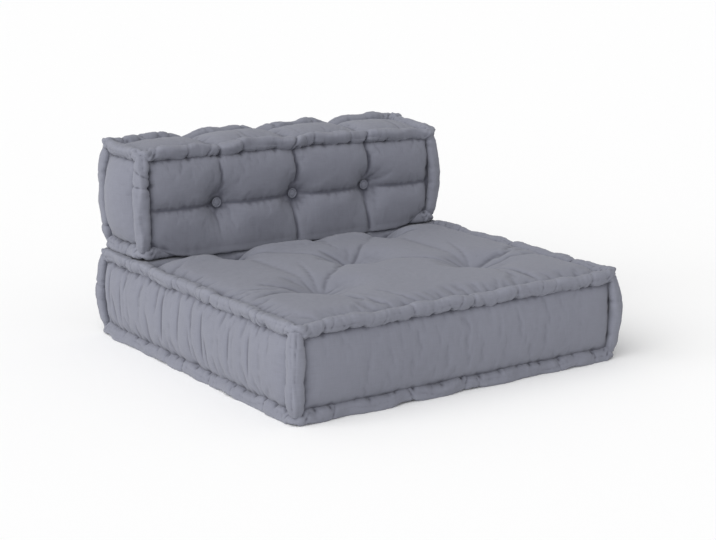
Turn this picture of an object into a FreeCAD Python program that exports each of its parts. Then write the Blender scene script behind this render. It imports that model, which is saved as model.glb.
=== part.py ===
import FreeCAD, Part
import math
import os

# A low floor sofa of two boxed mattress cushions: a square seat cushion lies on the
# floor and a back cushion stands on its rear edge. Each cushion has a foam core, fibre
# wadding, six cover panels and a stuffed rolled edge along each of its twelve edges.
# Frame: millimetres, +X to the right as seen from the front, +Y to the rear, +Z up.
# The origin is on the floor, under the middle of the seat cushion.

# Seat cushion, measured over its rolled edges
seat_width = 1000.0
seat_depth = 1000.0
seat_height = 240.0
seat_crown = 11.0
seat_sharpness = 8
seat_shoulder = 45.0

# Back cushion, measured over its rolled edges
back_side_inset = 14.0
back_depth = 236.0
back_height = 295.0
back_setback = 4.0
back_crown = 8.0

# Cloth, rolled edges and the room left between neighbours
cover_cloth = 1.5
roll_diameter = 40.0
seam_depth = 16.0
side_crown = -2.0
fit_gap = 0.3
straight_enough = 0.02

# Tufts: where the twine draws the cover into the filling
seat_tuft_x = 240.0
seat_tuft_front_inset = 285.0
seat_tuft_rear_lead = 45.0
seat_tuft_level = -31.0
seat_tuft_reach = 72.0
back_tuft_pitch = 240.0
back_tuft_drop = 20.0
back_tuft_level = -34.0
back_tuft_reach = 62.0
tuft_pad = 16.0
crease_depth = 12.0
crease_reach = 40.0

# Covered buttons, twine and the discs that anchor it
button_diameter = 28.0
button_rim = 3.0
button_dome = 6.0
twine_diameter = 2.5
twine_hole = 4.0
anchor_diameter = 40.0
anchor_thickness = 4.0

# The seat's bearing strip under the back cushion
bearing_level = -4.0
bearing_lead = 10.0

# Hook and loop strips that hold the back cushion to the seat
strip_width = 36.0
strip_thickness = 2.4
strip_end_margin = 90.0
strip_offset = 52.0

# Zips that close the two covers
zip_end_margin = 80.0
zip_band = 24.0
zip_slot = 16.0
tape_width = 18.0
tape_thickness = 1.0
teeth_width = 3.0
teeth_height = 2.0
teeth_gap = 1.6
stop_length = 4.0
slider_length = 13.0
slider_width = 12.0
slider_plate = 1.4
slider_neck_length = 6.0
zip_room = 1.0
seat_zip_level = -6.0

# Pull tab of the seat's zip
bail_length = 9.0
bail_width = 2.0
bail_bar = 1.2
pull_pin_diameter = 1.3
pull_arm = 1.4
pull_length = 28.0
pull_width = 7.0
pull_thickness = 1.2

roll_radius = roll_diameter / 2
notch = roll_diameter + fit_gap
lining = cover_cloth + fit_gap
X = FreeCAD.Vector(1, 0, 0)
Y = FreeCAD.Vector(0, 1, 0)
Z = FreeCAD.Vector(0, 0, 1)


class Face:
    """One side of a cushion: u and v run along it and n points outwards from the
    plane that the rolled edges touch."""

    def __init__(self, origin, u_axis, v_axis, length, height):
        self.origin = origin
        self.u_axis = u_axis
        self.v_axis = v_axis
        self.n_axis = u_axis.cross(v_axis)
        self.half_u = length / 2 - notch
        self.half_v = height / 2 - notch

    def at(self, u, v, n):
        return self.origin + self.u_axis * u + self.v_axis * v + self.n_axis * n

    def block(self, u_span, v_span, n_span):
        """A box between the given limits along u, v and n."""
        (u0, u1), (v0, v1), (n0, n1) = u_span, v_span, n_span
        corners = [(u0, v0), (u1, v0), (u1, v1), (u0, v1), (u0, v0)]
        outline = Part.makePolygon([self.at(u, v, n0) for u, v in corners])
        return Part.Face(outline).extrude(self.n_axis * (n1 - n0))

    def peg(self, u, v, n_span, diameter):
        """A round bar along n."""
        n0, n1 = n_span
        return Part.makeCylinder(diameter / 2, n1 - n0, self.at(u, v, n0), self.n_axis)


class Cushion:
    """The outer box of one cushion, over its rolled edges."""

    def __init__(self, width, depth, height, centre_y, base_z):
        self.width, self.depth, self.height = width, depth, height
        self.centre = FreeCAD.Vector(0, centre_y, base_z + height / 2)
        middle, side, end, rise = self.centre, X * (width / 2), Y * (depth / 2), Z * (height / 2)
        self.faces = {
            "top": Face(middle + rise, X, Y, width, depth),
            "bottom": Face(middle - rise, X, -Y, width, depth),
            "front": Face(middle - end, X, Z, width, height),
            "rear": Face(middle + end, -X, Z, width, height),
            "left": Face(middle - side, -Y, Z, depth, height),
            "right": Face(middle + side, Y, Z, depth, height),
        }

    def core(self):
        """The foam block, which the rolled edges leave clear on all sides."""
        size = FreeCAD.Vector(self.width, self.depth, self.height) - FreeCAD.Vector(1, 1, 1) * (2 * notch)
        return Part.makeBox(size.x, size.y, size.z, self.centre - size * 0.5)


seat = Cushion(seat_width, seat_depth, seat_height, 0.0, 0.0)
back_width = seat_width - 2 * back_side_inset
back_y = seat_depth / 2 - back_setback - back_depth / 2
back_base = seat_height + fit_gap
back = Cushion(back_width, back_depth, back_height, back_y, back_base)
back_front_y = back_y - back_depth / 2
bearing_start = back_front_y - bearing_lead


# Padded faces: lofts through sections made of arcs and lines


def arc_edges(points):
    """Edges through the points, one for each start, middle and end."""
    edges = []
    for start, middle, end in zip(points[0::2], points[1::2], points[2::2]):
        chord = (end - start).normalize()
        if (middle - start).cross(chord).Length < straight_enough:
            edges.append(Part.LineSegment(start, end).toShape())
        else:
            edges.append(Part.Arc(start, middle, end).toShape())
    return edges


def section(face, u, outer, inner):
    """The closed outline at u, between an outer and an inner list of (v, n)."""
    top = [face.at(u, v, n) for v, n in outer]
    under = [face.at(u, v, n) for v, n in reversed(inner)]
    if len(under) == 2:
        floor = [Part.LineSegment(*under).toShape()]
    else:
        floor = arc_edges(under)
    sides = [Part.LineSegment(top[-1], under[0]).toShape(), Part.LineSegment(under[-1], top[0]).toShape()]
    return Part.Wire(arc_edges(top) + sides[:1] + floor + sides[1:])


def padded_face(face, u_stations, v_stations, level, ruled=False):
    """The cover panel over a face and the wadding behind it. level(u, v) is the
    height of the cover's outer side."""
    panel_wires, wadding_wires = [], []
    for u in u_stations:
        outer = [(v, level(u, v)) for v in v_stations]
        lining_side = [(v, n - cover_cloth) for v, n in outer]
        stuffed = [(v, n - lining) for v, n in outer]
        base = [(v_stations[0], -notch), (v_stations[-1], -notch)]
        panel_wires.append(section(face, u, outer, lining_side))
        wadding_wires.append(section(face, u, stuffed, base))
    return Part.makeLoft(panel_wires, True, ruled), Part.makeLoft(wadding_wires, True, ruled)


def with_middles(stations):
    """The stations with the point half way between each pair put in."""
    filled = [stations[0]]
    for before, after in zip(stations, stations[1:]):
        filled += [(before + after) / 2, after]
    return filled


def fullness(position, half, sharpness=4):
    """1 in the middle of a face and 0 at its seams. A sharper one stays full nearer to them."""
    return 1 - (position / half) ** sharpness


def plain_face(face):
    """A side that swells evenly between its seams."""

    def level(u, v):
        swell = fullness(u, face.half_u) * fullness(v, face.half_v)
        return -seam_depth + (seam_depth + side_crown) * swell

    u_stations = [face.half_u * share for share in (-1, -0.8, -0.4, 0, 0.4, 0.8, 1)]
    return padded_face(face, u_stations, [-face.half_v, 0, face.half_v], level)


def flat_face(face):
    """A side that is pressed flat against the floor."""
    spans = [(-face.half_u, face.half_u), (-face.half_v, face.half_v)]
    return face.block(*spans, (-cover_cloth, 0)), face.block(*spans, (-notch, -lining))


def zip_face(face, band_level):
    """A side with a flat band along its middle for the zip."""
    half_zip = face.half_u - zip_end_margin

    def level(u, v):
        if abs(u) > half_zip or abs(v) == face.half_v:
            return -seam_depth
        if abs(v) <= zip_band:
            return band_level
        return band_level - (band_level + seam_depth) / 4

    u_stations = [-face.half_u, -half_zip, half_zip, face.half_u]
    v_stations = with_middles([-face.half_v, -zip_band, zip_band, face.half_v])
    panel, wadding = padded_face(face, u_stations, v_stations, level, ruled=True)
    slot = face.block((-half_zip, half_zip), (-zip_slot / 2, zip_slot / 2), (-notch, 0))
    depth = tape_thickness + slider_plate + 2 * fit_gap + zip_room
    floor = band_level - cover_cloth - depth
    reach = tape_width + zip_room
    recess = face.block((-half_zip - zip_room, half_zip + zip_room), (-reach, reach), (floor, 0))
    return panel.cut(slot), wadding.cut(recess)


def drawn_in(level, tuft_level, reach, tufts):
    """Lowers a level function to flat pads at the tufts."""

    def tufted(u, v):
        height = level(u, v) - tuft_level
        for tuft_u, tuft_v in tufts:
            off_u = max(abs(u - tuft_u) - tuft_pad, 0)
            off_v = max(abs(v - tuft_v) - tuft_pad, 0)
            height *= 1 - math.exp(-((off_u**2 + off_v**2) / reach**2))
        return tuft_level + height

    return tufted


def tuft_stations(half, columns, reach):
    """Where the sections of a tufted side lie: close together round each tuft."""
    marks = [(before + after) / 2 for before, after in zip(columns, columns[1:])]
    for column in columns:
        for off in (tuft_pad, tuft_pad + reach / 3, tuft_pad + reach * 2 / 3):
            marks += [column - off, column + off]
    outermost = columns[-1] + tuft_pad + reach
    marks += [-outermost, outermost, tuft_pad - half, half - tuft_pad]
    stations = [-half]
    for mark in sorted(marks):
        if stations[-1] + cover_cloth < mark < half - cover_cloth:
            stations.append(mark)
    return stations + [half]


tuft_front_y = seat_tuft_front_inset - seat_depth / 2
tuft_rear_y = back_front_y - seat_tuft_rear_lead
tuft_middle_y = (tuft_front_y + tuft_rear_y) / 2
seat_tufts = [(x, y) for x in (-seat_tuft_x, seat_tuft_x) for y in (tuft_front_y, tuft_rear_y)]
seat_tufts.append((0, tuft_middle_y))
back_tufts = [(column * back_tuft_pitch, -back_tuft_drop) for column in (-1, 0, 1)]


def seat_top(face):
    """The sitting side: a crowned top with five tufts, flat under the back cushion."""

    def crown(u, v):
        swell = fullness(u, face.half_u, seat_sharpness) * fullness(v, face.half_v, seat_sharpness)
        return -seam_depth + (seam_depth + seat_crown) * swell

    tufted = drawn_in(crown, seat_tuft_level, seat_tuft_reach, seat_tufts)
    last_pad = tuft_rear_y + tuft_pad

    def level(u, v):
        if v <= last_pad:
            return tufted(u, v)
        share = min((v - last_pad) / (bearing_start - last_pad), 1)
        return tufted(u, last_pad) * (1 - share) + bearing_level * share

    shoulders = [seat_shoulder - face.half_u, face.half_u - seat_shoulder]
    columns = [-seat_tuft_x, 0, seat_tuft_x]
    u_stations = sorted(tuft_stations(face.half_u, columns, seat_tuft_reach) + shoulders)
    rows = [-face.half_v, seat_shoulder - face.half_v]
    for row in (tuft_front_y, tuft_middle_y, tuft_rear_y):
        rows += [row - tuft_pad, row + tuft_pad]
    v_stations = with_middles(rows + [bearing_start, face.half_v])
    return padded_face(face, u_stations, v_stations, level, ruled=True)


def back_side(face):
    """A main side of the back cushion: three tufts, with creases that part it into
    two rows of four pillows."""

    def crown(u, v):
        swell = fullness(u, face.half_u) * fullness(v, face.half_v)
        nearest = min(abs(u - tuft_u) for tuft_u, _ in back_tufts)
        off_row = v + back_tuft_drop
        crease = max(math.exp(-((nearest / crease_reach) ** 2)), math.exp(-((off_row / crease_reach) ** 2)))
        return -seam_depth + (seam_depth + back_crown - crease_depth * crease) * swell

    u_stations = tuft_stations(face.half_u, [u for u, _ in back_tufts], back_tuft_reach)
    row = [-back_tuft_drop - tuft_pad, tuft_pad - back_tuft_drop]
    v_stations = with_middles([-face.half_v, *row, face.half_v])
    level = drawn_in(crown, back_tuft_level, back_tuft_reach, back_tufts)
    return padded_face(face, u_stations, v_stations, level, ruled=True)


def back_top(face):
    """The narrow top of the back cushion, parted by the same creases."""

    def level(u, v):
        swell = fullness(u, face.half_u) * fullness(v, face.half_v)
        nearest = min(abs(u - tuft_u) for tuft_u, _ in back_tufts)
        crease = math.exp(-((nearest / crease_reach) ** 2))
        return -seam_depth + (seam_depth + back_crown - crease_depth * crease) * swell

    columns = [u for u, _ in back_tufts]
    u_stations = with_middles([-face.half_u] + columns + [face.half_u])
    return padded_face(face, u_stations, [-face.half_v, 0, face.half_v], level)


# Rolled edges


def level_roll(cushion, along_x, side, raised):
    """One horizontal rolled edge, mitred at both ends. side is -1 or 1 across it."""
    length, across = (cushion.width, cushion.depth) if along_x else (cushion.depth, cushion.width)
    along_axis, across_axis = (X, Y) if along_x else (Y, X)
    height = (1 if raised else -1) * (cushion.height / 2 - roll_radius)
    middle = cushion.centre + across_axis * (side * (across / 2 - roll_radius)) + Z * height
    bar = Part.makeCylinder(roll_radius, length, middle - along_axis * (length / 2), along_axis)
    outer, inner = length / 2, length / 2 - roll_diameter
    step = across_axis * (side * roll_radius)
    plan = [
        middle + step - along_axis * outer,
        middle + step + along_axis * outer,
        middle - step + along_axis * inner,
        middle - step - along_axis * inner,
    ]
    under = Z * -roll_diameter
    wedge = Part.Face(Part.makePolygon([p + under for p in plan + plan[:1]])).extrude(Z * (2 * roll_diameter))
    return bar.common(wedge)


def corner_rolls(cushion):
    """The four upright rolled edges, between the upper and the lower ones."""
    rise = cushion.height - 2 * notch
    rolls = []
    for side_x in (-1, 1):
        for side_y in (-1, 1):
            offset_x = side_x * (cushion.width / 2 - roll_radius)
            offset_y = side_y * (cushion.depth / 2 - roll_radius)
            foot = cushion.centre + FreeCAD.Vector(offset_x, offset_y, -rise / 2)
            rolls.append(Part.makeCylinder(roll_radius, rise, foot, Z))
    return Part.makeCompound(rolls)


def rolled_edges(name, cushion):
    """All rolled edges of a cushion, by node name."""
    nodes = {f"{name}_corner_rolls": corner_rolls(cushion)}
    for raised, place in ((True, "top"), (False, "bottom")):
        for side, first, second in ((-1, "front", "left"), (1, "rear", "right")):
            nodes[f"{name}_roll_{place}_{first}"] = level_roll(cushion, True, side, raised)
            nodes[f"{name}_roll_{place}_{second}"] = level_roll(cushion, False, side, raised)
    return nodes


# Tufting


def covered_button(face, u, v, n):
    """A domed button whose flat back lies at n."""
    radius = button_diameter / 2
    rim = n + button_rim
    crown = rim + button_dome
    ball = (radius**2 + button_dome**2) / (2 * button_dome)
    half_way = math.asin(radius / ball) / 2
    shoulder = face.at(u + ball * math.sin(half_way), v, crown - ball * (1 - math.cos(half_way)))
    profile = [
        Part.LineSegment(face.at(u, v, n), face.at(u + radius, v, n)).toShape(),
        Part.LineSegment(face.at(u + radius, v, n), face.at(u + radius, v, rim)).toShape(),
        Part.Arc(face.at(u + radius, v, rim), shoulder, face.at(u, v, crown)).toShape(),
        Part.LineSegment(face.at(u, v, crown), face.at(u, v, n)).toShape(),
    ]
    return Part.Face(Part.Wire(profile)).revolve(face.at(u, v, n), face.n_axis, 360)


def drilled(shape, face, tufts, n_span, diameter):
    """The shape with a hole for the twine at each tuft."""
    for u, v in tufts:
        shape = shape.cut(face.peg(u, v, n_span, diameter))
    return shape


# Zips


def zip_nodes(name, face, band_level):
    """Tapes, teeth, end stops and slider of a zip that lies closed along u."""
    half_zip = face.half_u - zip_end_margin
    tape_top = band_level - cover_cloth
    tape_under = tape_top - tape_thickness
    teeth_top = tape_top + teeth_height
    half_gap = teeth_gap / 2
    length = (-half_zip, half_zip)
    tapes, teeth = [], []
    for side in (-1, 1):
        tape_edge = sorted((side * half_gap, side * tape_width))
        row = sorted((side * half_gap, side * (half_gap + teeth_width)))
        tapes.append(face.block(length, tape_edge, (tape_under, tape_top)))
        teeth.append(face.block(length, row, (tape_top, teeth_top)))
    stop_reach = half_gap + teeth_width
    stops = []
    for side in (-1, 1):
        span = sorted((side * half_zip, side * (half_zip - stop_length)))
        stops.append(face.block(span, (-stop_reach, stop_reach), (teeth_top, teeth_top + slider_plate)))
    return {
        f"{name}_zip_tapes": Part.makeCompound(tapes),
        f"{name}_zip_teeth": Part.makeCompound(teeth),
        f"{name}_zip_stops": Part.makeCompound(stops),
    }


def slider_place(face):
    """The slider's middle along u, at the closed end of its zip."""
    half_zip = face.half_u - zip_end_margin
    return half_zip - stop_length - fit_gap - slider_length / 2


def zip_slider(face, band_level):
    """A slider whose two plates hold the tapes between them, joined by a neck that
    runs in the gap between the rows of teeth."""
    middle = slider_place(face)
    tape_top = band_level - cover_cloth
    plate_under = tape_top + teeth_height + fit_gap
    plate_top = plate_under + slider_plate
    inner_top = tape_top - tape_thickness - fit_gap
    span = (middle - slider_length / 2, middle + slider_length / 2)
    neck_span = (middle - slider_neck_length / 2, middle + slider_neck_length / 2)
    half_width = slider_width / 2
    neck = teeth_gap / 2 - fit_gap
    flange = teeth_gap / 2 + teeth_width + fit_gap
    slider = face.block(span, (-half_width, half_width), (plate_under, plate_top))
    slider = slider.fuse(face.block(span, (-half_width, half_width), (inner_top - slider_plate, inner_top)))
    slider = slider.fuse(face.block(neck_span, (-neck, neck), (inner_top, plate_under)))
    for side in (-1, 1):
        wall = sorted((side * flange, side * half_width))
        slider = slider.fuse(face.block(span, wall, (tape_top + fit_gap, plate_under)))
    return slider.removeSplitter(), middle, plate_top


def pull_pivot(plate_top):
    """Height of the pull's pin above the slider's plate."""
    return plate_top + fit_gap + max(pull_pin_diameter, pull_thickness) / 2


def zip_bail(face, middle, plate_top):
    """The arch on the slider that the pull's pin turns under."""
    inner_height = pull_pivot(plate_top) + pull_pin_diameter / 2 + fit_gap
    half_width = bail_width / 2
    half_length = bail_length / 2
    span = (middle - half_length, middle + half_length)
    arch = face.block(span, (-half_width, half_width), (plate_top, inner_height + bail_bar))
    window = (middle - half_length + bail_bar, middle + half_length - bail_bar)
    return arch.cut(face.block(window, (-half_width, half_width), (plate_top, inner_height)))


def zip_pull(face, middle, plate_top):
    """A tab on two arms that straddle the bail, with the pin that joins them."""
    pivot = pull_pivot(plate_top)
    arm_inside = bail_width / 2 + fit_gap
    arm_outside = max(arm_inside + pull_arm, pull_width / 2)
    clear = bail_length / 2 + fit_gap + pull_thickness
    levels = (pivot - pull_thickness / 2, pivot + pull_thickness / 2)
    tab = face.block((middle - clear - pull_length, middle - clear), (-arm_outside, arm_outside), levels)
    for side in (-1, 1):
        arm = sorted((side * arm_inside, side * arm_outside))
        tab = tab.fuse(face.block((middle - clear, middle + pull_thickness / 2), arm, levels))
    start = face.at(middle, -arm_outside, pivot)
    pin = Part.makeCylinder(pull_pin_diameter / 2, 2 * arm_outside, start, face.v_axis)
    return tab.fuse(pin).removeSplitter()


# The whole sofa


def seat_nodes():
    faces = seat.faces
    top_panel, top_wadding = seat_top(faces["top"])
    bottom_panel, bottom_wadding = flat_face(faces["bottom"])
    rear_panel, rear_wadding = zip_face(faces["rear"], seat_zip_level)
    sides = {name: plain_face(faces[name]) for name in ("front", "left", "right")}

    top = faces["top"]
    core_span = (-seat_height + notch, -notch)
    through = (-seat_height, seat_crown)
    anchor_span = (core_span[0] - anchor_thickness, core_span[0])
    button_level = seat_tuft_level + fit_gap
    anchor_room = (anchor_span[0] - fit_gap, core_span[0])
    bottom_wadding = drilled(bottom_wadding, top, seat_tufts, anchor_room, anchor_diameter + 2 * fit_gap)
    plain_waddings = [sides[name][1] for name in sides]
    buttons = [covered_button(top, u, v, button_level) for u, v in seat_tufts]
    twines = [top.peg(u, v, (core_span[0], button_level), twine_diameter) for u, v in seat_tufts]
    anchors = [top.peg(u, v, anchor_span, anchor_diameter) for u, v in seat_tufts]
    nodes = {
        "seat_core": drilled(seat.core(), top, seat_tufts, through, twine_hole),
        "seat_top_wadding": drilled(top_wadding, top, seat_tufts, through, twine_hole),
        "seat_wadding": Part.makeCompound([bottom_wadding, rear_wadding] + plain_waddings),
        "seat_top_panel": drilled(top_panel, top, seat_tufts, through, twine_hole),
        "seat_bottom_panel": bottom_panel,
        "seat_rear_panel": rear_panel,
        "seat_tuft_buttons": Part.makeCompound(buttons),
        "seat_tuft_twines": Part.makeCompound(twines),
        "seat_tuft_anchors": Part.makeCompound(anchors),
    }
    for name, (panel, _) in sides.items():
        nodes[f"seat_{name}_panel"] = panel
    nodes.update(rolled_edges("seat", seat))
    nodes.update(zip_nodes("seat", faces["rear"], seat_zip_level))
    slider, middle, plate_top = zip_slider(faces["rear"], seat_zip_level)
    nodes["seat_zip_slider"] = slider.fuse(zip_bail(faces["rear"], middle, plate_top)).removeSplitter()
    nodes["seat_zip_pull"] = zip_pull(faces["rear"], middle, plate_top)
    return nodes


def strips(length, n_span, face, middle_v):
    """Two strips of hook or loop tape, in front of and behind the middle."""
    half = strip_width / 2
    return Part.makeCompound(
        [
            face.block((-length / 2, length / 2), (middle_v + v - half, middle_v + v + half), n_span)
            for v in (-strip_offset, strip_offset)
        ]
    )


def back_nodes():
    faces = back.faces
    bottom_level = back_base - (seat_height + bearing_level + 2 * strip_thickness + fit_gap)
    bottom_panel, bottom_wadding = zip_face(faces["bottom"], bottom_level)
    front_panel, front_wadding = back_side(faces["front"])
    rear_panel, rear_wadding = back_side(faces["rear"])
    top_panel, top_wadding = back_top(faces["top"])
    sides = {name: plain_face(faces[name]) for name in ("left", "right")}

    front = faces["front"]
    through = (-back_depth, back_crown)
    button_level = back_tuft_level + fit_gap
    rear_button = -back_depth - button_level
    bored = {
        "core": back.core(),
        "front_panel": front_panel,
        "front_wadding": front_wadding,
        "rear_panel": rear_panel,
        "rear_wadding": rear_wadding,
    }
    bored = {name: drilled(shape, front, back_tufts, through, twine_hole) for name, shape in bored.items()}
    waddings = [bored["front_wadding"], bored["rear_wadding"], top_wadding, bottom_wadding]
    waddings += [sides[name][1] for name in sides]
    front_buttons = [covered_button(front, u, v, button_level) for u, v in back_tufts]
    rear_buttons = [covered_button(faces["rear"], u, v, button_level) for u, v in back_tufts]
    twines = [front.peg(u, v, (rear_button, button_level), twine_diameter) for u, v in back_tufts]
    nodes = {
        "back_core": bored["core"],
        "back_wadding": Part.makeCompound(waddings),
        "back_front_panel": bored["front_panel"],
        "back_rear_panel": bored["rear_panel"],
        "back_top_panel": top_panel,
        "back_bottom_panel": bottom_panel,
        "back_front_buttons": Part.makeCompound(front_buttons),
        "back_rear_buttons": Part.makeCompound(rear_buttons),
        "back_tuft_twines": Part.makeCompound(twines),
    }
    for name, (panel, _) in sides.items():
        nodes[f"back_{name}_panel"] = panel
    nodes.update(rolled_edges("back", back))
    nodes.update(zip_nodes("back", faces["bottom"], bottom_level))
    nodes["back_zip_slider"] = zip_slider(faces["bottom"], bottom_level)[0]

    length = back_width - 2 * (notch + strip_end_margin)
    loop_span = (bearing_level, bearing_level + strip_thickness)
    hook_span = (bottom_level, bottom_level + strip_thickness)
    nodes["seat_loop_strips"] = strips(length, loop_span, seat.faces["top"], back_y)
    nodes["back_hook_strips"] = strips(length, hook_span, faces["bottom"], 0)
    return nodes


def main():
    os.makedirs("parts", exist_ok=True)
    nodes = {**seat_nodes(), **back_nodes()}
    for name, shape in nodes.items():
        solids = shape.Solids
        if not solids or not all(s.isValid() and s.isClosed() for s in solids):
            print("not a sound solid:", name)
        shape.exportStep(f"parts/{name}.step")
    print(len(nodes), "nodes,", sum(len(s.Solids) for s in nodes.values()), "solids")


main()
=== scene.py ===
import math

import bmesh
import bpy
import numpy as np
from bpy.props import FloatProperty, FloatVectorProperty, IntProperty, PointerProperty
from mathutils import Matrix, Vector


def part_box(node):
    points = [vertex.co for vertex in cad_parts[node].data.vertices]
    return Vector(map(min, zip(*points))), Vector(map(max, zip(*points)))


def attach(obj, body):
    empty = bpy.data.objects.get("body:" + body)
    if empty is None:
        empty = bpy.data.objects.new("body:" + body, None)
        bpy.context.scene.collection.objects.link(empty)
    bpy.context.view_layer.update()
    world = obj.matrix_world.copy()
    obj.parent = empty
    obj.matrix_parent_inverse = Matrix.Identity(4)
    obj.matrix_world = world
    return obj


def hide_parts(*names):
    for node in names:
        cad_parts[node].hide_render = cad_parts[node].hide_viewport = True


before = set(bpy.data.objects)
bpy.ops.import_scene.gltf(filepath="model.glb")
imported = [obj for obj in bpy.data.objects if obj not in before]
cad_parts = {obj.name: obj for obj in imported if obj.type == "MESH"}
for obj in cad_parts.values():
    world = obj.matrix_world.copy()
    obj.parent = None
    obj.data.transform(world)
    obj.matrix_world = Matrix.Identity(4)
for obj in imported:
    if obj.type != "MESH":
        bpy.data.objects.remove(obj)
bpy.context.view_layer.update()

bl_info = {
    "name": "Floor Sofa Module",
    "version": (1, 0, 0),
    "blender": (4, 5, 0),
    "location": "3D View > Sidebar > Sofa",
    "description": "Dresses a two-cushion floor sofa in stuffed, tufted and rolled-edge cloth",
    "category": "Object",
}

# Sizes and colours that a user would change. Lengths are in metres.


def length_setting(name, description, default):
    return FloatProperty(name=name, description=description, unit="LENGTH", default=default)


def number_setting(name, description, default):
    return FloatProperty(name=name, description=description, default=default)


def count_setting(name, description, default):
    return IntProperty(name=name, description=description, default=default)


def colour_setting(name, description, default):
    return FloatVectorProperty(name=name, description=description, subtype="COLOR", default=default)


class ClothSettings(bpy.types.PropertyGroup):
    """Colour and yarn of the cover cloth."""

    colour: colour_setting("Cloth", "Colour of the cover cloth", (0.185, 0.191, 0.231))
    yarn: length_setting("Yarn pitch", "Distance between threads of the weave", 0.0011)


class StuffingSettings(bpy.types.PropertyGroup):
    """How full the cushions are and how loosely their covers are cut."""

    grid: length_setting("Grid", "Spacing of the cover's mesh", 0.007)
    seat_crown: length_setting("Seat crown", "Rise of the seat's top above its seams", 0.021)
    seat_tuft: length_setting("Seat tufts", "Width of the hollow round a seat tuft", 0.075)
    bending: number_setting("Bending", "Stiffness of the cover against folding", 0.15)
    most: length_setting("Most give", "Farthest that the cover may move", 0.012)
    pressure: number_setting("Pressure", "Push of the filling on the cover", 4.0)
    frames: count_setting("Frames", "Length of the cloth simulation", 20)


class RollSettings(bpy.types.PropertyGroup):
    """Shape of the stuffed rolled edges."""

    stitch_gap: length_setting("Stitch gap", "Usual distance between stitches", 0.048)
    pinch: number_setting("Pinch", "Share of the radius that a stitch draws in", 0.26)
    twist: number_setting("Twist", "Depth of the slanting creases, as a share", 0.075)
    sides: count_setting("Sides", "Faces round a roll", 32)
    step: length_setting("Step", "Length of a face along a roll", 0.0035)


class StageSettings(bpy.types.PropertyGroup):
    """Floor, light and camera."""

    floor: colour_setting("Floor", "Colour of the floor", (0.97, 0.97, 0.97))
    key: number_setting("Key light", "Strength of the light from the left", 3.0)
    ambient: number_setting("Ambient", "Strength of the light from all round", 0.5)
    lens: number_setting("Lens", "Focal length in millimetres", 81.8)


# Shader sums


class Shade:
    """A shader socket that can be used in sums."""

    def __init__(self, tree, socket):
        self.tree = tree
        self.socket = socket

    def sum(self, operation, first, second=None):
        node = self.tree.nodes.new("ShaderNodeMath")
        node.operation = operation
        for place, value in zip(node.inputs, (first, second)):
            if value is not None:
                connect(self.tree, place, value)
        return Shade(self.tree, node.outputs[0])

    def __add__(self, other):
        return self.sum("ADD", self, other)

    __radd__ = __add__

    def __rsub__(self, other):
        return self.sum("SUBTRACT", other, self)

    def __mul__(self, other):
        return self.sum("MULTIPLY", self, other)

    __rmul__ = __mul__

    def __abs__(self):
        return self.sum("ABSOLUTE", self)

    def sine(self):
        return self.sum("SINE", self)

    def larger(self, other):
        return self.sum("MAXIMUM", self, other)


def connect(tree, place, value):
    """Links a shader value to a socket, or sets a plain value on it."""
    if isinstance(value, Shade):
        tree.links.new(value.socket, place)
    else:
        place.default_value = value


class Finish:
    """A material under construction."""

    def __init__(self, name, **constants):
        self.material = bpy.data.materials.new(name)
        self.material.use_nodes = True
        self.tree = self.material.node_tree
        self.surface = self.tree.nodes["Principled BSDF"]
        for key, value in constants.items():
            socket = key.replace("_", " ").title().replace("Ior", "IOR")
            self.surface.inputs[socket].default_value = value

    def node(self, kind, settings=None, output=0, **inputs):
        """Adds a node: its settings first, then the values or links of its sockets. A
        socket is named, or numbered as i0, i1 and so on."""
        node = self.tree.nodes.new(kind)
        for key, value in (settings or {}).items():
            setattr(node, key, value)
        for key, value in inputs.items():
            numbered = key[0] == "i" and key[1:].isdigit()
            connect(self.tree, node.inputs[int(key[1:]) if numbered else key], value)
        return Shade(self.tree, node.outputs[output])

    def feed(self, socket, value):
        connect(self.tree, self.surface.inputs[socket], value)

    def mix(self, factor, first, second):
        """Blends two colours."""
        return self.node("ShaderNodeMix", {"data_type": "RGBA"}, 2, i0=factor, i6=first, i7=second)

    def tint(self, first, second):
        """Multiplies two colours."""
        settings = {"data_type": "RGBA", "blend_type": "MULTIPLY"}
        return self.node("ShaderNodeMix", settings, 2, i0=1.0, i6=first, i7=second)

    def bump(self, height, distance, strength):
        bump = self.node("ShaderNodeBump", Height=height, Distance=distance, Strength=strength)
        self.feed("Normal", bump)

    def noise(self, place, scale, detail):
        return self.node("ShaderNodeTexNoise", Vector=place, Scale=scale, Detail=detail)

    def object_place(self):
        return self.node("ShaderNodeTexCoord", output=3)


def lighter(colour, share):
    """A plain colour, lightened or darkened by a share of itself."""
    return tuple(min(c * (1 + share), 1) for c in colour) + (1.0,)


WHITE = (1, 1, 1, 1)
# Painted shade: this colour darkens the cloth in creases, beside rolled edges and round buttons. The next
# colour lightens ridges.
PAINTED_SHADE_COLOUR = (0.46, 0.46, 0.49, 1)
RIDGE_SHADE = (1.1, 1.1, 1.09, 1)
DYE_SHADES = (0.93, 0.93, 0.935, 1), (1.06, 1.06, 1.055, 1)
YARN_CONTRAST = 0.16
SLUB_FINE, SLUB_LONG = 700, 24


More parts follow.
